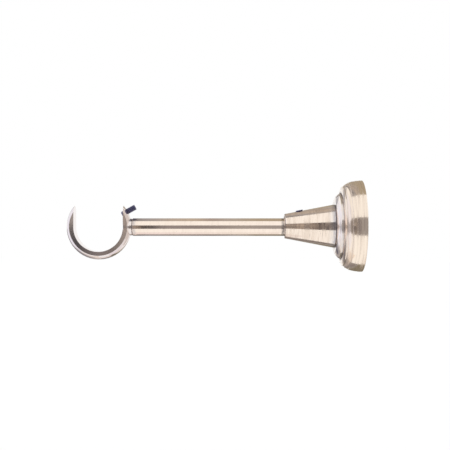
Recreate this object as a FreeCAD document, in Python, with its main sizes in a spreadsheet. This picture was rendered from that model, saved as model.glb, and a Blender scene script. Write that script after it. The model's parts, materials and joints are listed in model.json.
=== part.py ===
import FreeCAD, Part
import math
import os
import Sketcher

# Curtain pole bracket, in millimetres.
# The origin is on the wall, at the middle of the rose. The arm runs out along -X,
# the pole lies along Y and +Z is up.

os.makedirs("parts", exist_ok=True)
doc = FreeCAD.newDocument("curtain_pole_bracket")
sheet = doc.addObject("Spreadsheet::Sheet", "sizes")

# Driving dimensions
dimensions = [
    ("wallToPole", 136.55, "wall to the pole's centre line"),
    ("poleRadius", 12.5, "pole that the cup is made for"),
    ("poleClearance", 0.25, "gap between pole and cup, all round"),
    ("cupWall", 4.15, "wall of the cup, at the top of its crown"),
    ("cupWidth", 9.0, "cup, along the pole"),
    ("crownDrop", 1.9, "fall of the crowned outside, from its middle to its edges"),
    ("rimRound", 0.35, "rounding between the crown and the flat sides"),
    ("bossRadius", 4.35, "boss on the cup that meets the arm"),
    ("bossProud", 0.3, "boss face beyond the top of the crown"),
    ("poleScrewRadius", 1.5, "pole screw thread, outside"),
    ("poleScrewLength", 8.0, "pole screw, whole length"),
    ("poleScrewAngle", 29.0, "pole screw, degrees above the arm"),
    ("poleScrewGap", 1.0, "pole screw's tip to the pole, screw slack"),
    ("poleScrewKey", 0.87, "pole screw's hexagon, centre to corner"),
    ("armRadius", 4.6, "arm, a round rod"),
    ("armChamfer", 0.5, "arm, both ends"),
    ("armEndGap", 1.0, "arm's end to the bottom of its bore"),
    ("boreClearance", 0.5, "bore radius over arm radius"),
    ("seatGap", 0.02, "faces that press together, gap left between the solids"),
    ("socketLength", 26.0, "cone, from its mouth to the rose"),
    ("mouthWall", 1.25, "wall of the socket at its mouth"),
    ("coneLedge", 2.35, "flat front of the rose that shows round the cone"),
    ("mouthRound", 0.5, "rounding of the mouth's outer edge"),
    ("coneEndRound", 0.4, "rounding of the cone's large end"),
    ("mouthBevel", 0.4, "bevel of the bore's mouth"),
    ("boreDepth", 25.0, "arm's bore, from the mouth"),
    ("armScrewRadius", 2.0, "arm screw thread, outside"),
    ("armScrewLength", 4.0, "arm screw, whole length"),
    ("armScrewSet", 7.8, "arm screw, from the mouth"),
    ("armScrewKey", 1.16, "arm screw's hexagon, centre to corner"),
    ("screwPoint", 0.6, "chamfer at the tip of both grub screws"),
    ("threadClearance", 0.05, "gap between a thread's solid and its hole"),
    ("spigotRadius", 6.0, "spigot of the socket, through the rose"),
    ("spigotClearance", 0.2, "hole in the rose over the spigot"),
    ("spigotGap", 0.3, "spigot's end to the wall plate"),
    ("roseRadius", 23.8, "rose, at the wall"),
    ("roseDepth", 14.1, "rose, from the wall to the cone"),
    ("drumDrop", 1.2, "outer drum of the rose, fall from the wall to its edge line"),
    ("edgeStep", 0.25, "small step at the drum's edge line"),
    ("shoulderDepth", 2.4, "rounded shoulder, along the arm"),
    ("shoulderWidth", 1.65, "rounded shoulder, across"),
    ("shoulderRound", 4.0, "rounded shoulder, radius of its arc"),
    ("ringStep", 0.45, "small step between shoulder and ring face"),
    ("ringRise", 0.9, "rise of the ring face, from its step to the groove"),
    ("ringWidth", 3.3, "ring face, across"),
    ("ringRound", 8.0, "ring face, radius of its arc"),
    ("grooveWidth", 0.7, "groove beside the bead"),
    ("grooveDepth", 0.8, "groove, below the ring face"),
    ("beadRise", 1.05, "flank of the bead, above the ring face"),
    ("beadDepth", 2.1, "bead, from its flank to the front face"),
    ("beadWidth", 3.0, "bead, across its slope"),
    ("beadRound", 5.0, "bead, radius of its arc"),
    ("beadEdgeRound", 0.3, "rounding of the edges of bead and groove"),
    ("stepRound", 0.12, "rounding of the rose's small steps"),
    ("roseWall", 1.8, "wall of the rose at its rim"),
    ("ledgeWall", 1.3, "wall of the rose behind the groove"),
    ("roseFloor", 2.0, "thickness of the rose under the cone"),
    ("plateClearance", 2.0, "gap between the wall plate and the rim of the rose"),
    ("plateThickness", 2.5, "wall plate"),
    ("plateMargin", 1.6, "rim of the wall plate outside its countersinks"),
    ("wallHoleRadius", 2.3, "wall screw holes"),
    ("wallHeadRadius", 4.4, "countersinks of the wall screw holes"),
    ("studRadius", 4.0, "stud thread, outside"),
    ("studEndGap", 1.0, "stud's end to the bottom of the arm's bore"),
    ("swageRadius", 3.2, "stud's swaged end in the wall plate"),
    ("cupScrewRadius", 2.5, "cup screw thread, outside"),
    ("cupScrewLength", 16.0, "cup screw, whole length"),
    ("cupHeadRadius", 4.6, "cup screw's countersunk head"),
    ("cupHeadSink", 0.1, "cup screw's head below the seat of the pole"),
    ("cupScrewKey", 1.73, "cup screw's hexagon, centre to corner"),
    ("tappingSpare", 2.0, "tapped hole past the screw's end"),
]
for row, (alias, value, note) in enumerate(dimensions, start=1):
    sheet.set(f"A{row}", note)
    sheet.set(f"B{row}", str(value))
    sheet.setAlias(f"B{row}", alias)
doc.recompute()

# Sizes worked out from the driving ones, as formulas for the features below
slot_radius = "(sizes.poleRadius + sizes.poleClearance)"
cup_radius = f"({slot_radius} + sizes.cupWall)"
bore_radius = "(sizes.armRadius + sizes.boreClearance)"
arm_drop = "(sizes.boreClearance - sizes.seatGap)"
mouth_radius = f"({bore_radius} + sizes.mouthWall)"
drum_edge = "(sizes.roseRadius - sizes.drumDrop)"
shoulder_start = f"({drum_edge} - sizes.edgeStep)"
shoulder_end = f"({shoulder_start} - sizes.shoulderWidth)"
ring_inner = f"({shoulder_end} - sizes.ringWidth)"
bead_radius = f"({ring_inner} - sizes.grooveWidth)"
bead_front = f"({bead_radius} - sizes.beadWidth)"
cone_radius = f"({bead_front} - sizes.coneLedge)"
cone_spread = f"({cone_radius} - {mouth_radius})"
cone_angle = f"atan({cone_spread} / sizes.socketLength)"
mouth_distance = "(sizes.roseDepth + sizes.socketLength)"
bore_end = f"({mouth_distance} - sizes.boreDepth)"
boss_length = f"({cup_radius} + sizes.bossProud)"
arm_start = f"(sizes.wallToPole - {boss_length} - sizes.seatGap)"
arm_length = f"({arm_start} - {bore_end} - sizes.armEndGap)"
cup_head_place = f"({slot_radius} + sizes.cupHeadSink)"
cup_head_height = "(sizes.cupHeadRadius - sizes.cupScrewRadius)"
cup_hole_end = f"({cup_head_place} + sizes.cupScrewLength + sizes.tappingSpare)"

overshoot = 2.0     # cutting bodies run past the faces that they cut
closeness = 0.001   # two places nearer than this are one place


def number(formula):
    return float(sheet.evalExpression(formula))


def make_body(label):
    return doc.addObject("PartDesign::Body", label)


def origin_plane(body, role):
    return next(plane for plane in body.Origin.OriginFeatures if plane.Role == role)


def bind(thing, **formulas):
    for name, formula in formulas.items():
        thing.setExpression(name, formula)


def move(thing, x="0", y="0", z="0", turn=None):
    """Ties a thing's place to the sheet; turn is an axis and an angle in degrees."""
    for letter, formula in (("x", x), ("y", y), ("z", z)):
        thing.setExpression(f"Placement.Base.{letter}", formula)
    if turn:
        axis, angle = turn
        thing.Placement.Rotation = FreeCAD.Rotation(axis, number(angle))
        thing.setExpression("Placement.Rotation.Angle", angle)


def arc_between(start, finish, radius, side):
    """Arc that bulges to the left of its chord for side +1, to the right for side -1."""
    chord = finish - start
    half = chord.Length / 2
    rise = radius - math.sqrt(radius ** 2 - half ** 2)
    left = FreeCAD.Vector(-chord.y, chord.x, 0) / chord.Length
    return Part.Arc(start, start + chord / 2 + left * rise * side, finish)


def end_near(sketch, edge, place):
    return 1 if sketch.getPoint(edge, 1).distanceToPoint(place) < closeness else 2


def tie(sketch, constraint, formula):
    sketch.setExpression(f"Constraints[{sketch.addConstraint(constraint)}]", formula)


def draw_profile(body, name, corners, arcs, role="XY_Plane"):
    """Closed outline through the corners; arcs holds radius and side by the corner they leave."""
    sketch = body.newObject("Sketcher::SketchObject", name)
    sketch.AttachmentSupport = [(origin_plane(body, role), "")]
    sketch.MapMode = "FlatFace"
    places = [FreeCAD.Vector(number(x), number(y), 0) for x, y in corners]
    for index, start in enumerate(places):
        finish = places[(index + 1) % len(places)]
        if index in arcs:
            radius, side = arcs[index]
            sketch.addGeometry(arc_between(start, finish, number(radius), side))
        else:
            sketch.addGeometry(Part.LineSegment(start, finish))
    for index, place in enumerate(places):
        before = (index - 1) % len(places)
        point = end_near(sketch, index, place)
        last = end_near(sketch, before, place)
        sketch.addConstraint(Sketcher.Constraint("Coincident", before, last, index, point))
        x, y = corners[index]
        tie(sketch, Sketcher.Constraint("DistanceX", -1, 1, index, point, place.x), x)
        tie(sketch, Sketcher.Constraint("DistanceY", -1, 1, index, point, place.y), y)
    for index, (radius, side) in arcs.items():
        tie(sketch, Sketcher.Constraint("Radius", index, number(radius)), radius)
    return sketch


def revolve(body, name, sketch, axis="H_Axis"):
    turned = body.newObject("PartDesign::Revolution", name)
    turned.Profile = sketch
    turned.ReferenceAxis = (sketch, [axis])
    turned.Angle = 360
    return turned


def cylinder(body, name, kind, radius, height, **place):
    round_thing = body.newObject(f"PartDesign::{kind}Cylinder", name)
    bind(round_thing, Radius=radius, Height=height)
    move(round_thing, **place)
    return round_thing


def cone(body, name, kind, first_radius, last_radius, height, **place):
    tapered = body.newObject(f"PartDesign::{kind}Cone", name)
    bind(tapered, Radius1=first_radius, Radius2=last_radius, Height=height)
    move(tapered, **place)
    return tapered


def hexagon(body, name, corner, depth, **place):
    prism = body.newObject("PartDesign::SubtractivePrism", name)
    prism.Polygon = 6
    bind(prism, Circumradius=corner, Height=depth)
    move(prism, **place)
    return prism


def round_edges(body, feature, name, radius, test, kind="Fillet", amount="Radius"):
    """Rounds or bevels the edges of a feature that pass the test."""
    doc.recompute()
    edges = [f"Edge{index}" for index, edge in enumerate(feature.Shape.Edges, start=1) if test(edge)]
    eased = body.newObject(f"PartDesign::{kind}", name)
    eased.Base = (feature, edges)
    bind(eased, **{amount: radius})
    return eased


def is_circle(edge, radius):
    round_edge = hasattr(edge.Curve, "Radius")
    return round_edge and abs(edge.Curve.Radius - radius) < closeness


pole_axis = FreeCAD.Vector(0, 1, 0)     # a turn about it lays a cylinder along the arm


# Cup: a crowned ring, opened upwards by a slot as wide as its seat
def make_cup():
    body = make_body("cup")
    half_width = "(sizes.cupWidth / 2)"
    edge_radius = f"({cup_radius} - sizes.crownDrop)"
    crown_round = f"(({half_width} ^ 2 + sizes.crownDrop ^ 2) / (2 * sizes.crownDrop))"
    corners = [
        (slot_radius, f"-{half_width}"),
        (edge_radius, f"-{half_width}"),
        (edge_radius, half_width),
        (slot_radius, half_width),
    ]
    section = draw_profile(body, "cup_section", corners, {1: (crown_round, -1)})
    ring = revolve(body, "cup_ring", section, "V_Axis")
    outer_edge = number(edge_radius)
    round_edges(body, ring, "cup_rims", "sizes.rimRound", lambda edge: is_circle(edge, outer_edge))
    slot = body.newObject("PartDesign::SubtractiveBox", "cup_slot")
    bind(
        slot,
        Length=f"2 * {slot_radius}",
        Width=f"sizes.cupWidth + 2 * {overshoot}",
        Height=f"{cup_radius} + {overshoot}",
    )
    move(slot, x=f"-{slot_radius}", y=f"-{half_width} - {overshoot}")
    boss_start = f"(({slot_radius} + {cup_radius}) / 2)"
    cylinder(
        body, "cup_boss", "Additive", "sizes.bossRadius", f"{boss_length} - {boss_start}",
        x=boss_start, turn=(pole_axis, "90"),
    )
    cylinder(
        body, "cup_screw_hole", "Subtractive", "sizes.cupScrewRadius + sizes.threadClearance",
        f"{boss_length} + {overshoot} - {slot_radius}", x=slot_radius, turn=(pole_axis, "90"),
    )
    head_hole = "(sizes.cupHeadRadius + sizes.threadClearance)"
    head_space = f"({slot_radius} / 2)"
    cylinder(
        body, "cup_head_hole", "Subtractive", head_hole, f"{cup_head_place} - {head_space}",
        x=head_space, turn=(pole_axis, "90"),
    )
    cone(
        body, "cup_head_cone", "Subtractive", head_hole,
        "sizes.cupScrewRadius + sizes.threadClearance", cup_head_height,
        x=cup_head_place, turn=(pole_axis, "90"),
    )
    body.Tip = cylinder(
        body, "pole_screw_hole", "Subtractive", "sizes.poleScrewRadius + sizes.threadClearance",
        f"{cup_radius} + {overshoot} - sizes.poleRadius",
        x="sizes.poleRadius * cos(sizes.poleScrewAngle * 1 deg)",
        z="sizes.poleRadius * sin(sizes.poleScrewAngle * 1 deg)",
        turn=(pole_axis, "90 - sizes.poleScrewAngle"),
    )
    move(body, x="-sizes.wallToPole", z=f"-{arm_drop}")
    return body


# Grub screws: a thread with a bevelled tip at its own origin and a hexagon in its other end
def make_grub_screw(label, radius, length, key):
    body = make_body(label)
    shank = cylinder(body, f"{label}_shank", "Additive", radius, length)
    size = number(radius)
    round_edges(
        body, shank, f"{label}_tip", "sizes.screwPoint",
        lambda edge: is_circle(edge, size) and abs(edge.Curve.Center.z) < closeness,
        "Chamfer", "Size",
    )
    body.Tip = hexagon(body, f"{label}_socket", key, f"{length} / 2", z=f"{length} / 2")
    return body


def make_pole_screw():
    body = make_grub_screw(
        "pole_screw", "sizes.poleScrewRadius", "sizes.poleScrewLength", "sizes.poleScrewKey"
    )
    tip_distance = "(sizes.poleRadius + sizes.poleScrewGap)"
    move(
        body,
        x=f"-sizes.wallToPole + {tip_distance} * cos(sizes.poleScrewAngle * 1 deg)",
        z=f"-{arm_drop} + {tip_distance} * sin(sizes.poleScrewAngle * 1 deg)",
        turn=(pole_axis, "90 - sizes.poleScrewAngle"),
    )
    return body


# The arm screw stands square to the cone and its tip presses on the top of the arm
arm_screw_radius = f"({mouth_radius} + sizes.armScrewSet * {cone_spread} / sizes.socketLength)"
arm_top = f"(sizes.armRadius - {arm_drop})"
tip_height = f"({arm_top} + (sizes.armScrewRadius - sizes.screwPoint) * sin({cone_angle}) + sizes.seatGap)"
tip_inside = f"(({arm_screw_radius} - {tip_height}) / cos({cone_angle}))"
arm_screw_distance = f"({mouth_distance} - sizes.armScrewSet)"


def make_arm_screw():
    body = make_grub_screw(
        "arm_screw", "sizes.armScrewRadius", "sizes.armScrewLength", "sizes.armScrewKey"
    )
    move(
        body,
        x=f"-{arm_screw_distance} + {tip_inside} * sin({cone_angle})",
        z=tip_height,
        turn=(pole_axis, f"-{cone_angle} / 1 deg"),
    )
    return body


# Arm: a rod with a tapped hole in the end that meets the cup
def make_arm():
    body = make_body("arm")
    rod = cylinder(body, "arm_rod", "Additive", "sizes.armRadius", arm_length, turn=(pole_axis, "90"))
    size = number("sizes.armRadius")
    round_edges(
        body, rod, "arm_ends", "sizes.armChamfer", lambda edge: is_circle(edge, size), "Chamfer", "Size"
    )
    body.Tip = cylinder(
        body, "arm_tapping", "Subtractive", "sizes.cupScrewRadius + sizes.threadClearance",
        f"{cup_hole_end} - {boss_length}", turn=(pole_axis, "90"),
    )
    move(body, x=f"-{arm_start}", z=f"-{arm_drop}")
    return body


# Cup screw: countersunk, its head just below the seat of the pole
def make_cup_screw():
    body = make_body("cup_screw")
    cone(
        body, "cup_screw_head", "Additive", "sizes.cupHeadRadius", "sizes.cupScrewRadius",
        cup_head_height,
    )
    cylinder(body, "cup_screw_shank", "Additive", "sizes.cupScrewRadius", "sizes.cupScrewLength")
    body.Tip = hexagon(body, "cup_screw_socket", "sizes.cupScrewKey", cup_head_height)
    move(
        body, x=f"-sizes.wallToPole + {cup_head_place}", z=f"-{arm_drop}", turn=(pole_axis, "90")
    )
    return body


# Socket: a cone bored for the arm, with a spigot that goes through the rose to the stud
def make_socket():
    body = make_body("socket")
    stud_hole = "(sizes.studRadius + sizes.threadClearance)"
    spigot_end = "(sizes.plateThickness + sizes.spigotGap)"
    seat = "(sizes.roseDepth + sizes.seatGap)"
    corners = [
        (f"-{mouth_distance}", bore_radius),
        (f"-{mouth_distance}", mouth_radius),
        (f"-{seat}", cone_radius),
        (f"-{seat}", "sizes.spigotRadius"),
        (f"-{spigot_end}", "sizes.spigotRadius"),
        (f"-{spigot_end}", stud_hole),
        (f"-{bore_end}", stud_hole),
        (f"-{bore_end}", bore_radius),
    ]
    turned = revolve(body, "socket_turning", draw_profile(body, "socket_profile", corners, {}))
    mouth = number(mouth_radius)
    large_end = number(cone_radius)
    bore = number(bore_radius)
    mouth_place = number(mouth_distance)
    rounded = round_edges(
        body, turned, "socket_mouth", "sizes.mouthRound", lambda edge: is_circle(edge, mouth)
    )
    rounded = round_edges(
        body, rounded, "socket_end", "sizes.coneEndRound", lambda edge: is_circle(edge, large_end)
    )
    round_edges(
        body, rounded, "socket_bevel", "sizes.mouthBevel",
        lambda edge: is_circle(edge, bore) and abs(edge.Curve.Center.x + mouth_place) < closeness,
        "Chamfer", "Size",
    )
    body.Tip = cylinder(
        body, "arm_screw_hole", "Subtractive", "sizes.armScrewRadius + sizes.threadClearance",
        f"{tip_inside} + {overshoot}",
        x=f"-{arm_screw_distance} + {tip_inside} * sin({cone_angle})", z=tip_height,
        turn=(pole_axis, f"-{cone_angle} / 1 deg"),
    )
    return body


# Rose: crowned drum, edge line, rounded shoulder, ring face, groove and bead, hollow behind
def make_rose():
    body = make_body("rose")
    bead_foot = "(sizes.roseDepth - sizes.beadDepth)"
    ring_top = f"({bead_foot} - sizes.beadRise)"
    ring_foot = f"({ring_top} - sizes.ringRise)"
    groove_floor = f"({ring_top} - sizes.grooveDepth)"
    shoulder_top = f"({ring_foot} - sizes.ringStep)"
    drum_depth = f"({shoulder_top} - sizes.shoulderDepth)"
    drum_round = f"(({drum_depth} ^ 2 + sizes.drumDrop ^ 2) / (2 * sizes.drumDrop))"
    hole = "(sizes.spigotRadius + sizes.spigotClearance)"
    cavity_floor = "(sizes.roseDepth - sizes.roseFloor)"
    cavity_ledge = f"({groove_floor} - sizes.ledgeWall)"
    cavity_step = f"({drum_depth} - sizes.roseWall / 2)"
    corners = [
        ("0", "sizes.roseRadius"),
        (f"-{drum_depth}", drum_edge),
        (f"-{drum_depth}", shoulder_start),
        (f"-{shoulder_top}", shoulder_end),
        (f"-{ring_foot}", shoulder_end),
        (f"-{ring_top}", ring_inner),
        (f"-{groove_floor}", ring_inner),
        (f"-{groove_floor}", bead_radius),
        (f"-{bead_foot}", bead_radius),
        ("-sizes.roseDepth", bead_front),
        ("-sizes.roseDepth", hole),
        (f"-{cavity_floor}", hole),
        (f"-{cavity_floor}", f"{bead_front} - sizes.roseWall"),
        (f"-{cavity_ledge}", f"{bead_radius} - sizes.roseWall"),
        (f"-{cavity_ledge}", ring_inner),
        (f"-{cavity_step}", f"{drum_edge} - sizes.roseWall"),
        ("0", "sizes.roseRadius - sizes.roseWall"),
    ]
    arcs = {
        0: (drum_round, -1),
        2: ("sizes.shoulderRound", -1),
        4: ("sizes.ringRound", -1),
        8: ("sizes.beadRound", -1),
    }
    turned = revolve(body, "rose_turning", draw_profile(body, "rose_profile", corners, arcs))

    def edge_at(distance, radius):
        place = number(distance)
        size = number(radius)
        return lambda edge: is_circle(edge, size) and abs(edge.Curve.Center.x + place) < closeness

    bead_edges = [
        edge_at("sizes.roseDepth", bead_front),
        edge_at(bead_foot, bead_radius),
        edge_at(ring_top, ring_inner),
    ]
    step_edges = [edge_at(drum_depth, drum_edge), edge_at(ring_foot, shoulder_end)]
    rounded = round_edges(
        body, turned, "bead_edges", "sizes.beadEdgeRound",
        lambda edge: any(test(edge) for test in bead_edges),
    )
    body.Tip = round_edges(
        body, rounded, "step_edges", "sizes.stepRound",
        lambda edge: any(test(edge) for test in step_edges),
    )
    return body


# Wall plate: a disc with a middle hole for the stud and two countersunk wall screw holes
def make_wall_plate():
    body = make_body("wall_plate")
    plate_radius = "(sizes.roseRadius - sizes.roseWall - sizes.plateClearance)"
    wall_hole_height = f"({plate_radius} - sizes.plateMargin - sizes.wallHeadRadius)"
    cylinder(
        body, "plate_disc", "Additive", plate_radius, "sizes.plateThickness",
        turn=(pole_axis, "-90"),
    )
    cylinder(
        body, "plate_stud_hole", "Subtractive", "sizes.swageRadius + sizes.threadClearance",
        f"sizes.plateThickness + 2 * {overshoot}", x=f"{overshoot}", turn=(pole_axis, "-90"),
    )
    head_depth = "(sizes.wallHeadRadius - sizes.wallHoleRadius)"
    for name, side in (("upper", "+"), ("lower", "-")):
        height = f"{side}{wall_hole_height}"
        cylinder(
            body, f"{name}_wall_hole", "Subtractive", "sizes.wallHoleRadius",
            f"sizes.plateThickness + 2 * {overshoot}", x=f"{overshoot}", z=height,
            turn=(pole_axis, "-90"),
        )
        body.Tip = cone(
            body, f"{name}_countersink", "Subtractive", "sizes.wallHoleRadius",
            "sizes.wallHeadRadius", head_depth, x=f"-(sizes.plateThickness - {head_depth})",
            z=height, turn=(pole_axis, "-90"),
        )
    return body


# Stud: a threaded pin with a thinner end, swaged into the wall plate
def make_plate_stud():
    body = make_body("plate_stud")
    cylinder(
        body, "stud_swage", "Additive", "sizes.swageRadius", "sizes.plateThickness + sizes.seatGap",
        turn=(pole_axis, "-90"),
    )
    start = "(sizes.plateThickness + sizes.seatGap)"
    body.Tip = cylinder(
        body, "stud_thread", "Additive", "sizes.studRadius",
        f"{bore_end} - sizes.studEndGap - {start}", x=f"-{start}", turn=(pole_axis, "-90"),
    )
    return body


pieces = [
    make_cup(),
    make_pole_screw(),
    make_cup_screw(),
    make_arm(),
    make_socket(),
    make_arm_screw(),
    make_rose(),
    make_wall_plate(),
    make_plate_stud(),
]
doc.recompute()

for thing in doc.Objects:
    if "Invalid" in thing.State or "Error" in thing.State:
        raise RuntimeError(f"{thing.Label} failed: {thing.State}")
for piece in pieces:
    if piece.Shape.isNull() or not piece.Shape.isValid():
        raise RuntimeError(f"{piece.Label} has no valid shape")
    if len(piece.Shape.Solids) != 1:
        raise RuntimeError(f"{piece.Label} has {len(piece.Shape.Solids)} solids")
    piece.Shape.exportStep(f"parts/{piece.Label}.step")
    box = piece.Shape.BoundBox
    print(
        f"{piece.Label}: {piece.Shape.Volume:.1f} mm3, x {box.XMin:.2f} to {box.XMax:.2f}, "
        f"y {box.YMin:.2f} to {box.YMax:.2f}, z {box.ZMin:.2f} to {box.ZMax:.2f}"
    )
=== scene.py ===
import json
import math
import bpy
from mathutils import Matrix, Vector


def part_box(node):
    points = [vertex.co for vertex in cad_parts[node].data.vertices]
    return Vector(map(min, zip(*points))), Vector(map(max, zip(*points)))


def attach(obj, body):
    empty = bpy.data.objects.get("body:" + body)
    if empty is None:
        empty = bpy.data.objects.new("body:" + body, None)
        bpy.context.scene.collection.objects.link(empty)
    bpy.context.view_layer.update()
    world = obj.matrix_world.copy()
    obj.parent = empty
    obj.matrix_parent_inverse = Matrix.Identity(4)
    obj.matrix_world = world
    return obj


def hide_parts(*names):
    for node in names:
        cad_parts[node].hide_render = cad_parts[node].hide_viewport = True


# Curtain pole bracket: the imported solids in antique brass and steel, with threaded screws.
# Metres. The origin is on the wall, the arm runs along -X, the pole lies along Y, +Z is up.

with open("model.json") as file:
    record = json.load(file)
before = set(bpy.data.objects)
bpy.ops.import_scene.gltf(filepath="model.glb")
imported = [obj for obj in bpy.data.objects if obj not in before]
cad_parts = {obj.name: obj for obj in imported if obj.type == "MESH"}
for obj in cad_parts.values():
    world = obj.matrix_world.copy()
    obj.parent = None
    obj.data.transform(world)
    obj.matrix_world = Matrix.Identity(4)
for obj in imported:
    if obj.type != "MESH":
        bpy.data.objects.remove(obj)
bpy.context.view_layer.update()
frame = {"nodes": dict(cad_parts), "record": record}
nodes = frame["nodes"]
mm = 0.001
# the pole's middle, at the height of the arm's axis
seatX, seatY, seatZ = next(
    mount["pos_m"] for mount in frame["record"]["mounts"] if mount["name"] == "pole_seat"
)
print("frame loaded:", ", ".join(sorted(nodes)))


# node helpers
def addNode(tree, kind, **settings):
    node = tree.nodes.new(kind)
    for name, value in settings.items():
        setattr(node, name, value)
    return node


def feed(tree, socket, value):
    if isinstance(value, bpy.types.NodeSocket):
        tree.links.new(value, socket)
    else:
        socket.default_value = value


def maths(tree, operation, *values, clamp=False):
    node = addNode(tree, "ShaderNodeMath", operation=operation, use_clamp=clamp)
    for socket, value in zip(node.inputs, values):
        feed(tree, socket, value)
    return node.outputs["Value"]


def remap(tree, value, low, high, newLow=0.0, newHigh=1.0):
    node = addNode(tree, "ShaderNodeMapRange", clamp=True, interpolation_type="SMOOTHSTEP")
    for name, number in (
        ("Value", value), ("From Min", low), ("From Max", high),
        ("To Min", newLow), ("To Max", newHigh),
    ):
        feed(tree, node.inputs[name], number)
    return node.outputs["Result"]


def blendColours(tree, amount, first, second):
    node = addNode(tree, "ShaderNodeMix", data_type="RGBA", clamp_factor=True)
    feed(tree, node.inputs[0], amount)      # factor
    feed(tree, node.inputs[6], first)       # colour A
    feed(tree, node.inputs[7], second)      # colour B
    return node.outputs[2]


def colour(red, green, blue):
    return (red, green, blue, 1.0)


def startGroup(name, inputs, outputs):
    group = bpy.data.node_groups.new(name, "ShaderNodeTree")
    for label, kind, value in inputs:
        socket = group.interface.new_socket(label, in_out="INPUT", socket_type=f"NodeSocket{kind}")
        socket.default_value = value
    for label, kind in outputs:
        group.interface.new_socket(label, in_out="OUTPUT", socket_type=f"NodeSocket{kind}")
    given = group.nodes.new("NodeGroupInput").outputs
    made = group.nodes.new("NodeGroupOutput").inputs
    return group, given, made


def useGroup(tree, group, **values):
    node = addNode(tree, "ShaderNodeGroup", node_tree=group)
    for name, value in values.items():
        feed(tree, node.inputs[name], value)
    return node.outputs


def splitVector(tree, vector):
    parts = addNode(tree, "ShaderNodeSeparateXYZ")
    feed(tree, parts.inputs[0], vector)
    return parts.outputs


def joinVector(tree, *values):
    vector = addNode(tree, "ShaderNodeCombineXYZ")
    for socket, value in zip(vector.inputs, values):
        feed(tree, socket, value)
    return vector.outputs[0]


def hypotenuse(tree, first, second):
    squares = [maths(tree, "POWER", value, 2.0) for value in (first, second)]
    return maths(tree, "SQRT", maths(tree, "ADD", *squares))


def objectNoise(tree, scale, **settings):
    where = addNode(tree, "ShaderNodeTexCoord")
    noise = addNode(tree, "ShaderNodeTexNoise")
    feed(tree, noise.inputs["Vector"], where.outputs["Object"])
    feed(tree, noise.inputs["Scale"], scale)
    for name, value in settings.items():
        feed(tree, noise.inputs[name], value)
    return noise.outputs["Fac"]


def lineNoise(tree, place, spacing, arc, detail):
    # noise that runs round the X axis: quick along the axis and outwards, slow round it
    along, sideways, upward = splitVector(tree, place)
    outward = hypotenuse(tree, sideways, upward)
    cosine = maths(tree, "DIVIDE", sideways, outward)
    sine = maths(tree, "DIVIDE", upward, outward)
    vector = joinVector(
        tree, maths(tree, "DIVIDE", along, spacing), maths(tree, "DIVIDE", outward, spacing),
        maths(tree, "MULTIPLY", cosine, arc),
    )
    noise = addNode(tree, "ShaderNodeTexNoise", noise_dimensions="4D")
    feed(tree, noise.inputs["Vector"], vector)
    feed(tree, noise.inputs["W"], maths(tree, "MULTIPLY", sine, arc))
    feed(tree, noise.inputs["Scale"], 1.0)
    feed(tree, noise.inputs["Detail"], detail)
    return noise.outputs["Fac"]


# shared effects, each with its own values; in brackets stand from, to and what these become
turningMarks = {
    # spacing and arc are shares of the group's own
    "fine": {"spacing": 1.0, "arc": 1.0, "detail": 2.0},
    "wide": {"spacing": 7.0, "arc": 0.6, "detail": 3.0, "range": (0.32, 0.68)},
    "scored": {"spacing": 1.7, "arc": 0.8, "detail": 1.0, "range": (0.56, 0.74)},
}


def makeTurnedLines():
    # brushing left by turning: fine lines round the X axis of Place, broken up round it
    group, given, made = startGroup(
        "turnedLines",
        [("Place", "Vector", (0, 0, 0)), ("Spacing", "Float", 0.12 * mm), ("Arc", "Float", 3.0)],
        [("Height", "Float"), ("Streak", "Float"), ("Scoring", "Float")],
    )
    noises = {}
    for name, marks in turningMarks.items():
        spacing = maths(group, "MULTIPLY", given["Spacing"], marks["spacing"])
        arc = maths(group, "MULTIPLY", given["Arc"], marks["arc"])
        noises[name] = lineNoise(group, given["Place"], spacing, arc, marks["detail"])
    feed(group, made["Height"], noises["fine"])
    feed(group, made["Streak"], remap(group, noises["wide"], *turningMarks["wide"]["range"]))
    feed(group, made["Scoring"], remap(group, noises["scored"], *turningMarks["scored"]["range"]))
    return group


seamShape = {
    "spacing": 0.6 * mm, "arc": 5.0, "detail": 3.0, "range": (0.3, 0.6, 0.3, 1.0),
    "fade": (1.0, 0.2),                     # shares of the width, from no tone to full tone
}


def makeSeamToneAndShade():
    # a tone held in a turned seam, a cool tint or painted shade: a ring round X at one place along it
    # and one distance out
    group, given, made = startGroup(
        "seamToneAndShade",
        [("Place", "Vector", (0, 0, 0)), ("Along", "Float", 0.0), ("Outward", "Float", 10.0 * mm),
         ("Width", "Float", 0.3 * mm)],
        [("Mask", "Float")],
    )
    along, sideways, upward = splitVector(group, given["Place"])
    radius = hypotenuse(group, sideways, upward)
    aside = maths(group, "SUBTRACT", along, given["Along"])
    beyond = maths(group, "SUBTRACT", radius, given["Outward"])
    away = maths(group, "DIVIDE", hypotenuse(group, aside, beyond), given["Width"])
    near = remap(group, away, *seamShape["fade"])
    noise = lineNoise(
        group, given["Place"], seamShape["spacing"], seamShape["arc"], seamShape["detail"],
    )
    patchy = remap(group, noise, *seamShape["range"])
    feed(group, made["Mask"], maths(group, "MULTIPLY", near, patchy))
    return group


patinaAndShadeShape = {
    "samples": 8,
    "closed": (0.12, 0.75),                 # how closed in it is, from no residue and painted shade to full
    "mottleDetail": 4.0, "mottle": (0.3, 0.7, 0.55, 1.0),
}


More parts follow.
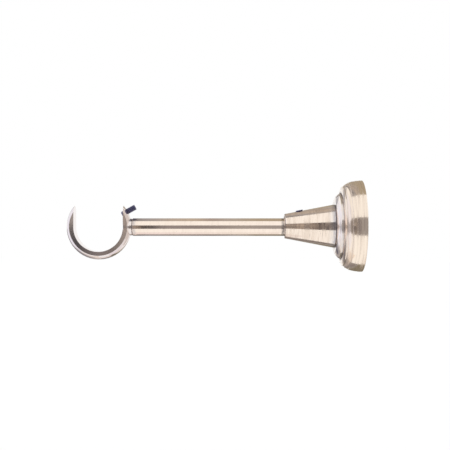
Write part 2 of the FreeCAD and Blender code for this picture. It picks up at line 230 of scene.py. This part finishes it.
def makeRecessPatinaAndShade():
    # dark residue and painted shade where the surface is closed in, mottled
    group, given, made = startGroup(
        "recessPatinaAndShade",
        [("Reach", "Float", 2.0 * mm), ("Amount", "Float", 1.0), ("Mottle", "Float", 900.0)],
        [("Mask", "Float")],
    )
    shelter = addNode(group, "ShaderNodeAmbientOcclusion", samples=patinaAndShadeShape["samples"])
    feed(group, shelter.inputs["Distance"], given["Reach"])
    closed = maths(group, "SUBTRACT", 1.0, shelter.outputs["AO"])
    noise = objectNoise(group, given["Mottle"], Detail=patinaAndShadeShape["mottleDetail"])
    mottled = remap(group, noise, *patinaAndShadeShape["mottle"])
    mask = maths(group, "MULTIPLY", remap(group, closed, *patinaAndShadeShape["closed"]), mottled)
    feed(group, made["Mask"], maths(group, "MULTIPLY", mask, given["Amount"], clamp=True))
    return group


edgeShape = {"samples": 6, "turned": (0.98, 0.80), "rub": (0.25, 0.6, 0.2, 1.0)}


def makeWornEdges():
    # edges rubbed bright, and a softened normal that catches light along them
    group, given, made = startGroup(
        "wornEdges",
        [("Width", "Float", 0.25 * mm), ("Breakup", "Float", 700.0)],
        [("Mask", "Float"), ("Normal", "Vector")],
    )
    bevel = addNode(group, "ShaderNodeBevel", samples=edgeShape["samples"])
    feed(group, bevel.inputs["Radius"], given["Width"])
    surface = addNode(group, "ShaderNodeNewGeometry")
    turn = addNode(group, "ShaderNodeVectorMath", operation="DOT_PRODUCT")
    feed(group, turn.inputs[0], bevel.outputs["Normal"])
    feed(group, turn.inputs[1], surface.outputs["Normal"])
    edge = remap(group, turn.outputs["Value"], *edgeShape["turned"])
    rub = remap(group, objectNoise(group, given["Breakup"]), *edgeShape["rub"])
    feed(group, made["Mask"], maths(group, "MULTIPLY", edge, rub))
    feed(group, made["Normal"], bevel.outputs["Normal"])
    return group


handlingShape = {
    "smearDetail": 5.0, "smearDistortion": 0.8, "smear": (0.35, 0.7),
    "pitsLeftOut": 0.93,                    # share of the cells without a pit
    "pit": (0.30, 0.10),
}


def makeHandling():
    # smears in the lacquer and small pits, for roughness and colour
    group, given, made = startGroup(
        "handling",
        [("Scale", "Float", 90.0), ("Pit Scale", "Float", 1500.0)],
        [("Smear", "Float"), ("Pits", "Float")],
    )
    smear = objectNoise(
        group, given["Scale"], Detail=handlingShape["smearDetail"],
        Distortion=handlingShape["smearDistortion"],
    )
    where = addNode(group, "ShaderNodeTexCoord")
    cells = addNode(group, "ShaderNodeTexVoronoi")
    feed(group, cells.inputs["Vector"], where.outputs["Object"])
    feed(group, cells.inputs["Scale"], given["Pit Scale"])
    chance = addNode(group, "ShaderNodeSeparateColor")
    feed(group, chance.inputs[0], cells.outputs["Color"])
    rare = maths(group, "GREATER_THAN", chance.outputs[0], handlingShape["pitsLeftOut"])
    dot = remap(group, cells.outputs["Distance"], *handlingShape["pit"])
    feed(group, made["Smear"], remap(group, smear, *handlingShape["smear"]))
    feed(group, made["Pits"], maths(group, "MULTIPLY", dot, rare))
    return group


turnedLines = makeTurnedLines()
seamToneAndShade = makeSeamToneAndShade()
recessPatinaAndShade = makeRecessPatinaAndShade()
wornEdges = makeWornEdges()
handling = makeHandling()
print("shared effects built")


# parts of a material
def turningPlace(tree, centre, axis):
    # Object coordinates seen from centre, with the turning axis, X or Y, laid along X
    where = addNode(tree, "ShaderNodeTexCoord")
    moved = addNode(tree, "ShaderNodeVectorMath", operation="SUBTRACT")
    feed(tree, moved.inputs[0], where.outputs["Object"])
    feed(tree, moved.inputs[1], centre)
    if axis == "X":
        return moved.outputs["Vector"]
    along, sideways, upward = splitVector(tree, moved.outputs["Vector"])
    return joinVector(tree, sideways, along, upward)      # Y and X change places


def startMaterial(name):
    material = bpy.data.materials.new(name)
    material.use_nodes = True
    return material, material.node_tree.nodes["Principled BSDF"]


def tint(tree, base, mask, strength, tone):
    return blendColours(tree, maths(tree, "MULTIPLY", mask, strength), base, tone)


def roughen(tree, rough, mask, amount):
    return maths(tree, "ADD", rough, maths(tree, "MULTIPLY", mask, amount))


def finishNormal(tree, shader, height, normal, strength, depth):
    bump = addNode(tree, "ShaderNodeBump")
    feed(tree, bump.inputs["Height"], height)
    feed(tree, bump.inputs["Normal"], normal)
    feed(tree, bump.inputs["Strength"], strength)
    feed(tree, bump.inputs["Distance"], depth)
    feed(tree, shader.inputs["Normal"], bump.outputs["Normal"])


def dress(piece, material):
    piece.data.materials.clear()
    piece.data.materials.append(material)


# antique brass
brass = {
    "bright": colour(0.99, 0.86, 0.745),    # polished through on high places
    "streaked": colour(0.82, 0.69, 0.575),  # lines where the antiquing holds
    "patinaAndShade": colour(0.095, 0.078, 0.082),  # residue in grooves and corners, and painted shade in corners, joints and at the socket's mouth
    "scored": colour(0.50, 0.41, 0.36),     # single deeper turning marks
    "seamShade": colour(0.33, 0.32, 0.36),      # cool painted shade along turned seams, grooves, steps and joints
    "bloom": colour(0.91, 0.85, 0.81),      # lacquer gone cool round the seams
    "worn": colour(1.0, 0.92, 0.85),        # edges rubbed by hands and cloths
}
brassWear = {
    "pits": 0.5, "rubbed": 0.6,             # strength of the pits and of the rubbed edges
    "smearRough": 0.03, "dirtRough": 0.25,  # roughness that smears and residue add
}


def makeBrass(name, look):
    material, shader = startMaterial(name)
    tree = material.node_tree
    place = turningPlace(tree, look["centre"], look["axis"])
    lines = useGroup(tree, turnedLines, Place=place, Spacing=look["spacing"], Arc=look["arc"])
    dirtAndShade = useGroup(tree, recessPatinaAndShade, Reach=look["reach"], Amount=look["patinaAndShade"])
    edges = useGroup(tree, wornEdges, Width=look["edge"])
    marks = useGroup(tree, handling, Scale=look["smearScale"])
    base = tint(tree, look["bright"], lines["Streak"], look["streaks"], brass["streaked"])
    base = tint(tree, base, lines["Scoring"], look["scoring"], brass["scored"])
    for tone, along, outward, width, strength in look["seams"]:
        seam = useGroup(
            tree, seamToneAndShade, Place=place,
            Along=along * mm, Outward=outward * mm, Width=width * mm,
        )
        base = tint(tree, base, seam["Mask"], strength, brass[tone])
    base = tint(tree, base, marks["Pits"], brassWear["pits"], brass["patinaAndShade"])
    # painted shade and residue where the surface is closed in
    base = blendColours(tree, dirtAndShade["Mask"], base, brass["patinaAndShade"])
    base = tint(tree, base, edges["Mask"], brassWear["rubbed"], brass["worn"])
    feed(tree, shader.inputs["Base Color"], base)
    coarse = maths(tree, "POWER", lines["Streak"], 2.0)
    rough = roughen(tree, look["rough"], coarse, look["roughLines"])
    rough = roughen(tree, rough, marks["Smear"], brassWear["smearRough"])
    rough = roughen(tree, rough, dirtAndShade["Mask"], brassWear["dirtRough"])
    feed(tree, shader.inputs["Roughness"], rough)
    shader.inputs["Metallic"].default_value = 1.0
    finishNormal(
        tree, shader, lines["Height"], edges["Normal"], look["lineStrength"], look["lineDepth"],
    )
    return material


# Spacing and arc set the turning lines, reach how far the residue and painted shade look for a closed
# place, edge how wide a rub is. A seam has its tone, which for the dark tones is painted shade, its
# place along the arm and out from it, its half width, all three in mm, and its strength.
armLook = {
    "centre": (0.0, seatY, seatZ), "axis": "X", "bright": brass["bright"],
    "spacing": 0.22 * mm, "arc": 1.5, "streaks": 0.22, "scoring": 0.12,
    "reach": 1.2 * mm, "patinaAndShade": 0.7, "edge": 0.2 * mm, "smearScale": 60.0,
    "rough": 0.055, "roughLines": 0.04, "lineStrength": 0.12, "lineDepth": 0.0015 * mm,
    # the slate seam paints shade on the arm by the cup, the patina seam a painted shadow ring where the
    # arm goes into the socket
    "seams": (("seamShade", -119.3, 4.6, 3.0, 0.6), ("patinaAndShade", -41.0, 4.6, 1.3, 0.8)),
}
socketLook = {
    "centre": (0.0, 0.0, 0.0), "axis": "X", "bright": brass["bright"],
    "spacing": 0.16 * mm, "arc": 2.0, "streaks": 0.75, "scoring": 0.5,
    "reach": 0.8 * mm, "patinaAndShade": 0.2, "edge": 0.25 * mm, "smearScale": 80.0,
    "rough": 0.07, "roughLines": 0.14, "lineStrength": 0.35, "lineDepth": 0.0035 * mm,
    # the bloom seam is a cool tone; the slate seam paints shade where the cone meets the rose, the
    # patina seam painted shade at the mouth
    "seams": (
        ("bloom", -14.1, 11.2, 5.0, 0.9), ("seamShade", -14.3, 11.3, 2.4, 0.7),
        ("patinaAndShade", -40.0, 6.35, 0.5, 0.8),
    ),
}
roseLook = {
    "centre": (0.0, 0.0, 0.0), "axis": "X", "bright": colour(0.985, 0.855, 0.72),
    "spacing": 0.16 * mm, "arc": 2.0, "streaks": 0.75, "scoring": 0.5,
    "reach": 0.8 * mm, "patinaAndShade": 0.2, "edge": 0.2 * mm, "smearScale": 70.0,
    "rough": 0.09, "roughLines": 0.20, "lineStrength": 0.4, "lineDepth": 0.006 * mm,
    # the bloom seam is a cool tone; the slate seams paint shade where the cone meets the rose, in the
    # groove and along the ring's and drum's steps
    "seams": (
        ("bloom", -14.1, 14.0, 8.0, 0.95), ("seamShade", -14.1, 11.8, 1.4, 0.4),
        ("seamShade", -10.7, 17.05, 1.7, 0.55), ("seamShade", -9.7, 20.6, 0.4, 0.3),
        ("seamShade", -7.2, 22.5, 0.4, 0.1),
    ),
}
cupLook = {
    "centre": (seatX, seatY, seatZ), "axis": "Y", "bright": colour(0.87, 0.81, 0.80),
    "spacing": 0.25 * mm, "arc": 1.2, "streaks": 0.3, "scoring": 0.2,
    "reach": 1.6 * mm, "patinaAndShade": 0.95, "edge": 0.22 * mm, "smearScale": 90.0,
    "rough": 0.07, "roughLines": 0.03, "lineStrength": 0.15, "lineDepth": 0.003 * mm,
    "seams": (),
}

for node, look in (("arm", armLook), ("socket", socketLook), ("rose", roseLook), ("cup", cupLook)):
    dress(nodes[node], makeBrass(f"{node}Brass", look))
print("brass pieces dressed")


# steel
steelKinds = {
    "blackSteel": {
        "base": colour(0.19, 0.185, 0.31), "worn": colour(0.45, 0.44, 0.52),
        "dirtAndShade": colour(0.06, 0.058, 0.075), "rough": 0.42,
    },
    "zincSteel": {
        "base": colour(0.62, 0.64, 0.68), "worn": colour(0.80, 0.80, 0.80),
        "dirtAndShade": colour(0.20, 0.19, 0.18), "rough": 0.30,
    },
}
steelFinish = {
    "spacing": 0.09 * mm, "arc": 3.0, "reach": 0.6 * mm, "patinaAndShade": 0.8, "edge": 0.08 * mm,
    "breakup": 2500.0, "smearScale": 300.0, "rubbed": 0.5, "smearRough": 0.12,
    "lineStrength": 0.3, "lineDepth": 0.004 * mm,
}


def makeSteel(name):
    look = steelKinds[name]
    material, shader = startMaterial(name)
    tree = material.node_tree
    place = turningPlace(tree, (0.0, 0.0, 0.0), "X")
    lines = useGroup(
        tree, turnedLines, Place=place, Spacing=steelFinish["spacing"], Arc=steelFinish["arc"],
    )
    dirtAndShade = useGroup(
        tree, recessPatinaAndShade, Reach=steelFinish["reach"], Amount=steelFinish["patinaAndShade"],
        Mottle=steelFinish["breakup"],
    )
    edges = useGroup(tree, wornEdges, Width=steelFinish["edge"], Breakup=steelFinish["breakup"])
    marks = useGroup(tree, handling, Scale=steelFinish["smearScale"])
    # painted shade and residue where the surface is closed in
    base = blendColours(tree, dirtAndShade["Mask"], look["base"], look["dirtAndShade"])
    base = tint(tree, base, edges["Mask"], steelFinish["rubbed"], look["worn"])
    feed(tree, shader.inputs["Base Color"], base)
    rough = roughen(tree, look["rough"], marks["Smear"], steelFinish["smearRough"])
    feed(tree, shader.inputs["Roughness"], rough)
    shader.inputs["Metallic"].default_value = 1.0
    finishNormal(
        tree, shader, lines["Height"], edges["Normal"], steelFinish["lineStrength"],
        steelFinish["lineDepth"],
    )
    return material


blackSteel = makeSteel("blackSteel")
zincSteel = makeSteel("zincSteel")
for node in ("wall_plate", "plate_stud", "cup_screw"):
    dress(nodes[node], zincSteel)
print("hidden steel pieces dressed")


# grub screws with a cut thread and a hexagon socket
screwShape = {
    "sides": 48,            # points round the screw, a multiple of six
    "rowsPerPitch": 10,
    "threadDepth": 0.54,    # share of the pitch
    "crest": 0.16,          # share of the pitch left flat on the crest
    "headBevel": 0.18 * mm,
    "tipBevel": 0.6 * mm,
    "keyDepth": 0.5,        # share of the length
    "drillDepth": 0.25 * mm,
    "sharpAngle": math.radians(32),
}
# key is the distance from the axis to a corner of the hexagon; tilt is taken from +X towards +Z
poleScrew = {
    "node": "pole_screw", "radius": 1.5 * mm, "length": 8.0 * mm, "pitch": 0.5 * mm,
    "key": 0.87 * mm, "tilt": math.radians(29.0),
}
coneTaper = math.atan(5.0 / 26.0)           # the socket's cone narrows by 5 mm of radius over 26 mm
armScrew = {
    "node": "arm_screw", "radius": 2.0 * mm, "length": 4.0 * mm, "pitch": 0.7 * mm,
    "key": 1.16 * mm, "tilt": math.radians(90.0) + coneTaper,
}


def threadRadius(screw, angle, height):
    # distance from the axis of a point on the thread, bevelled at both ends
    step = (height / screw["pitch"] - angle / math.tau) % 1.0
    slope = abs(2.0 * step - 1.0)                      # 1 in the root, 0 on the crest
    cut = max(0.0, (slope - screwShape["crest"]) / (1.0 - screwShape["crest"]))
    depth = cut * screwShape["threadDepth"] * screw["pitch"]
    tip = max(0.0, screwShape["tipBevel"] - height)
    head = max(0.0, screwShape["headBevel"] - (screw["length"] - height))
    return min(screw["radius"] - depth, screw["radius"] - tip, screw["radius"] - head)


def hexagonRadius(corner, angle):
    return corner * math.cos(math.pi / 6) / math.cos(angle % (math.pi / 3) - math.pi / 6)


def buildScrew(screw):
    sides = screwShape["sides"]
    rows = round(screw["length"] / screw["pitch"] * screwShape["rowsPerPitch"])
    keyBottom = screw["length"] * (1.0 - screwShape["keyDepth"])
    angles = [math.tau * index / sides for index in range(sides)]
    heights = [screw["length"] * index / rows for index in range(rows + 1)]
    rings = [
        [(threadRadius(screw, angle, height), height) for angle in angles] for height in heights
    ]
    for height in (screw["length"], keyBottom):
        rings.append([(hexagonRadius(screw["key"], angle), height) for angle in angles])
    points = [
        (distance * math.cos(angle), distance * math.sin(angle), height)
        for ring in rings for angle, (distance, height) in zip(angles, ring)
    ]
    faces = []
    for row in range(len(rings) - 1):
        first = row * sides
        second = first + sides
        for side in range(sides):
            following = (side + 1) % sides
            faces.append((first + side, first + following, second + following, second + side))
    last = (len(rings) - 1) * sides
    tipPoint = len(points)
    drillPoint = tipPoint + 1
    points.append((0.0, 0.0, 0.0))
    points.append((0.0, 0.0, keyBottom - screwShape["drillDepth"]))
    for side in range(sides):
        following = (side + 1) % sides
        faces.append((tipPoint, following, side))
        faces.append((last + side, last + following, drillPoint))
    mesh = bpy.data.meshes.new(screw["node"] + "Thread")
    mesh.from_pydata(points, [], faces)
    mesh.shade_smooth()
    mesh.set_sharp_from_angle(angle=screwShape["sharpAngle"])
    mesh.update()
    return mesh


def placeScrew(screw):
    # the head's rim touches the node's box at the top and at the side it leans to
    low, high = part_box(screw["node"])
    outward = Vector((math.cos(screw["tilt"]), 0.0, math.sin(screw["tilt"])))
    across = abs(outward.z) * screw["radius"]
    rise = abs(outward.x) * screw["radius"]
    headX = high.x - across if outward.x > 0 else low.x + across
    head = Vector((headX, 0.0, high.z - rise))
    start = head - outward * screw["length"]
    turn = Vector((0, 0, 1)).rotation_difference(outward).to_matrix().to_4x4()
    return Matrix.Translation(start) @ turn


def addScrew(screw):
    mesh = buildScrew(screw)
    mesh.transform(placeScrew(screw))
    piece = bpy.data.objects.new(screw["node"] + "_threaded", mesh)
    bpy.context.scene.collection.objects.link(piece)
    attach(piece, "root")
    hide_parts(screw["node"])
    dress(piece, blackSteel)


addScrew(poleScrew)
addScrew(armScrew)
print("screws threaded")


# stage: floor, reflected cards, light and camera
stageLook = {
    "floorHeight": -0.25, "floorSize": 12.0,
    "floorTone": colour(0.90, 0.90, 0.90), "floorRough": 0.9,
    "cardSteps": 24,                        # flat strips that a curved card is made of
    "skyLight": 0.75, "sunLight": 1.35, "sunSpread": math.radians(50),
    "sunTurn": (math.radians(28), math.radians(-14), 0.0),
}
# A card is a strip of a cylinder about X, seen only in the metal. Its angles go from the camera's
# side upwards. Its shades stand at places along X, from the left end to the right one.
reflectionCards = {
    "frontCard": {
        "radius": 0.50, "start": -22.5, "end": 21.5,
        "shades": (
            (-1.05, (0.40, 0.39, 0.41)), (-0.80, (0.36, 0.34, 0.35)), (-0.50, (0.30, 0.275, 0.27)),
            (-0.30, (0.27, 0.24, 0.23)), (-0.205, (0.29, 0.26, 0.24)), (-0.192, (0.25, 0.215, 0.205)),
            (-0.181, (0.50, 0.42, 0.36)), (-0.168, (0.44, 0.37, 0.33)), (-0.162, (0.06, 0.055, 0.06)),
            (-0.149, (0.07, 0.065, 0.07)), (-0.140, (0.32, 0.295, 0.305)), (-0.098, (0.28, 0.257, 0.26)),
            (-0.076, (0.314, 0.29, 0.29)), (-0.055, (0.39, 0.365, 0.36)), (-0.017, (0.36, 0.34, 0.34)),
            (0.35, (0.34, 0.32, 0.32)),
        ),
    },
    "backTopCard": {
        "radius": 0.90, "start": 84, "end": 166,
        "shades": (
            (-0.30, (0.38, 0.36, 0.36)), (-0.220, (0.34, 0.33, 0.34)), (-0.210, (0.14, 0.14, 0.155)),
            (-0.200, (0.36, 0.35, 0.37)), (-0.186, (0.39, 0.38, 0.40)), (-0.150, (0.50, 0.45, 0.41)),
            (-0.120, (0.54, 0.48, 0.41)), (-0.092, (0.40, 0.35, 0.33)), (-0.080, (0.42, 0.38, 0.36)),
            (-0.063, (0.47, 0.445, 0.42)), (-0.022, (0.43, 0.38, 0.30)), (0.45, (0.43, 0.38, 0.30)),
        ),
    },
    "backLowCard": {
        "radius": 0.90, "start": -166, "end": -110,
        "shades": (
            (-0.235, (0.44, 0.40, 0.38)), (-0.212, (0.36, 0.33, 0.32)), (-0.203, (0.19, 0.185, 0.195)),
            (-0.192, (0.31, 0.305, 0.33)), (-0.152, (0.31, 0.29, 0.29)), (-0.120, (0.28, 0.25, 0.25)),
            (-0.100, (0.24, 0.215, 0.21)), (-0.082, (0.24, 0.22, 0.215)), (-0.063, (0.32, 0.31, 0.31)),
            (-0.042, (0.38, 0.35, 0.33)), (-0.026, (0.24, 0.215, 0.165)), (0.11, (0.24, 0.215, 0.165)),
            (0.19, (0.25, 0.225, 0.175)), (0.215, (0.78, 0.71, 0.65)), (0.45, (0.84, 0.79, 0.75)),
        ),
    },
    "cupLowCard": {
        "radius": 0.90, "start": -178, "end": -116,
        "shades": (
            (-1.08, (0.60, 0.58, 0.60)), (-0.85, (0.42, 0.40, 0.41)), (-0.60, (0.38, 0.35, 0.345)),
            (-0.24, (0.50, 0.45, 0.43)),
        ),
    },
    "cupWarmLeftCard": {
        "radius": 0.90, "start": -115, "end": -80,
        "shades": (
            (-0.80, (0.85, 0.80, 0.80)), (-0.40, (0.88, 0.80, 0.74)), (-0.24, (0.88, 0.76, 0.66)),
        ),
    },
    "cupWarmRightCard": {
        "radius": 0.90, "start": -109, "end": -80,
        "shades": ((0.12, (0.88, 0.76, 0.66)), (0.60, (0.86, 0.84, 0.84))),
    },
    "armNearCard": {
        "radius": 0.05, "start": -105, "end": -71,
        "shades": (
            (-0.1225, (0.88, 0.81, 0.84)), (-0.090, (0.88, 0.83, 0.85)), (-0.062, (0.90, 0.87, 0.86)),
            (-0.040, (0.90, 0.86, 0.86)),
        ),
    },
    "cupNearCard": {
        "radius": 0.05, "start": -116, "end": -101,
        "shades": ((-0.147, (0.84, 0.77, 0.72)), (-0.1215, (0.86, 0.77, 0.70))),
    },
    "beadLowCard": {
        "radius": 0.85, "start": -178, "end": -144,
        "shades": ((-0.66, (0.15, 0.145, 0.175)), (-0.36, (0.15, 0.145, 0.175))),
    },
    "beadTopCard": {
        "radius": 0.90, "start": 142, "end": 178,
        "shades": ((-0.66, (0.45, 0.45, 0.49)), (-0.34, (0.45, 0.45, 0.49))),
    },
    "cupFaceLowCard": {
        "radius": 0.48, "start": -11, "end": 0,
        "shades": (
            (-0.26, (0.06, 0.06, 0.064)), (-0.234, (0.06, 0.06, 0.067)), (-0.226, (0.07, 0.069, 0.075)),
            (-0.214, (0.16, 0.14, 0.14)), (-0.202, (0.34, 0.30, 0.29)), (-0.191, (0.15, 0.13, 0.13)),
            (-0.181, (0.26, 0.24, 0.215)), (-0.173, (0.54, 0.46, 0.41)), (-0.169, (0.54, 0.46, 0.40)),
        ),
    },
    "cupFaceTopCard": {
        "radius": 0.48, "start": 0, "end": 9,
        "shades": (
            (-0.26, (0.62, 0.57, 0.52)), (-0.236, (0.46, 0.42, 0.40)), (-0.200, (0.32, 0.28, 0.26)),
            (-0.181, (0.46, 0.40, 0.36)), (-0.173, (0.58, 0.50, 0.42)), (-0.169, (0.60, 0.51, 0.43)),
        ),
    },
}
# upright cards past both ends of the arm: place along X, reach in Y and in Z
endCards = {
    "leftCard": {
        "along": -1.1, "across": (-1.1, 1.1), "upright": (-1.1, 1.1),
        "shade": (0.94, 0.95, 1.05),
    },
    "leftBandCard": {
        "along": -1.08, "across": (-0.45, 0.10), "upright": (-0.22, 0.10),
        "shade": (0.47, 0.46, 0.51),
    },
    "rightCard": {
        "along": 1.1, "across": (-1.1, 1.1), "upright": (-1.1, 1.1),
        "shade": (0.76, 0.70, 0.66),
    },
}


def addFloor():
    half = stageLook["floorSize"] / 2
    height = stageLook["floorHeight"]
    mesh = bpy.data.meshes.new("floor")
    mesh.from_pydata(
        [(-half, -half, height), (half, -half, height), (half, half, height), (-half, half, height)],
        [], [(0, 1, 2, 3)],
    )
    floor = bpy.data.objects.new("floor", mesh)
    bpy.context.scene.collection.objects.link(floor)
    material, shader = startMaterial("paleFloor")
    shader.inputs["Base Color"].default_value = stageLook["floorTone"]
    shader.inputs["Roughness"].default_value = stageLook["floorRough"]
    shader.inputs["Specular IOR Level"].default_value = 0.0
    mesh.materials.append(material)
    floor.visible_glossy = False         # the metal mirrors the cards below it instead


def addGlow(name, mesh, shades):
    # a glowing stage piece that only the metal mirrors; each shade stands at a share of its length
    piece = bpy.data.objects.new(name, mesh)
    bpy.context.scene.collection.objects.link(piece)
    material = bpy.data.materials.new(name)
    material.use_nodes = True
    tree = material.node_tree
    tree.nodes.clear()
    where = addNode(tree, "ShaderNodeTexCoord")
    ramp = addNode(tree, "ShaderNodeValToRGB")
    feed(tree, ramp.inputs[0], splitVector(tree, where.outputs["Generated"])[0])
    marks = ramp.color_ramp.elements
    while len(marks) < len(shades):
        marks.new(0.5)
    for mark, (share, shade) in zip(marks, shades):
        mark.position = share
        mark.color = colour(*shade)
    glow = addNode(tree, "ShaderNodeEmission")
    feed(tree, glow.inputs["Color"], ramp.outputs[0])
    output = addNode(tree, "ShaderNodeOutputMaterial")
    feed(tree, output.inputs["Surface"], glow.outputs[0])
    mesh.materials.append(material)
    for ray in ("camera", "diffuse", "transmission", "volume_scatter", "shadow"):
        setattr(piece, f"visible_{ray}", False)


def addCard(name, card):
    steps = stageLook["cardSteps"]
    left, right = card["shades"][0][0], card["shades"][-1][0]
    points = []
    for step in range(steps + 1):
        angle = math.radians(card["start"] + (card["end"] - card["start"]) * step / steps)
        y = -card["radius"] * math.cos(angle)
        z = card["radius"] * math.sin(angle)
        points += [(left, y, z), (right, y, z)]
    faces = [(2 * step, 2 * step + 1, 2 * step + 3, 2 * step + 2) for step in range(steps)]
    mesh = bpy.data.meshes.new(name)
    mesh.from_pydata(points, [], faces)
    shares = [((place - left) / (right - left), shade) for place, shade in card["shades"]]
    addGlow(name, mesh, shares)


def addEndCard(name, card):
    front, back = card["across"]
    low, high = card["upright"]
    corners = ((front, low), (back, low), (back, high), (front, high))
    mesh = bpy.data.meshes.new(name)
    mesh.from_pydata([(card["along"], y, z) for y, z in corners], [], [(0, 1, 2, 3)])
    addGlow(name, mesh, [(0.0, card["shade"]), (1.0, card["shade"])])


def lightWorld():
    world = bpy.data.worlds.new("studio")
    bpy.context.scene.world = world
    world.use_nodes = True
    tree = world.node_tree
    tree.nodes.clear()
    seen = addNode(tree, "ShaderNodeBackground")
    seen.inputs["Strength"].default_value = 1.0
    seen.inputs["Color"].default_value = colour(1.0, 1.0, 1.0)
    soft = addNode(tree, "ShaderNodeBackground")
    soft.inputs["Strength"].default_value = stageLook["skyLight"]
    soft.inputs["Color"].default_value = colour(1.0, 1.0, 1.0)
    rays = addNode(tree, "ShaderNodeLightPath").outputs
    mirrored = maths(tree, "MAXIMUM", rays["Is Glossy Ray"], rays["Is Transmission Ray"])
    shown = maths(tree, "MAXIMUM", rays["Is Camera Ray"], mirrored)
    choose = addNode(tree, "ShaderNodeMixShader")
    feed(tree, choose.inputs[0], shown)
    feed(tree, choose.inputs[1], soft.outputs[0])
    feed(tree, choose.inputs[2], seen.outputs[0])
    output = addNode(tree, "ShaderNodeOutputWorld")
    feed(tree, output.inputs["Surface"], choose.outputs[0])


def addSun():
    light = bpy.data.lights.new("softSun", "SUN")
    light.energy = stageLook["sunLight"]
    light.angle = stageLook["sunSpread"]
    sun = bpy.data.objects.new("softSun", light)
    sun.rotation_euler = stageLook["sunTurn"]
    sun.visible_glossy = False
    bpy.context.scene.collection.objects.link(sun)


photoCamera = {
    "along": -0.0710, "distance": 0.465, "height": 0.0006, "lens": 71.36, "sensor": 36.0,
    "nearest": 0.01, "farthest": 30.0,
}


def addCamera():
    data = bpy.data.cameras.new("photoCamera")
    data.lens = photoCamera["lens"]
    data.sensor_width = photoCamera["sensor"]
    data.clip_start = photoCamera["nearest"]
    data.clip_end = photoCamera["farthest"]
    camera = bpy.data.objects.new("photoCamera", data)
    camera.location = (photoCamera["along"], -photoCamera["distance"], photoCamera["height"])
    camera.rotation_euler = (math.radians(90), 0.0, 0.0)     # level, looking along +Y
    bpy.context.scene.collection.objects.link(camera)
    bpy.context.scene.camera = camera


addFloor()
for cardName, card in reflectionCards.items():
    addCard(cardName, card)
for cardName, card in endCards.items():
    addEndCard(cardName, card)
lightWorld()
addSun()
addCamera()
bpy.context.scene.view_settings.view_transform = "Standard"
print("stage, light and camera set")
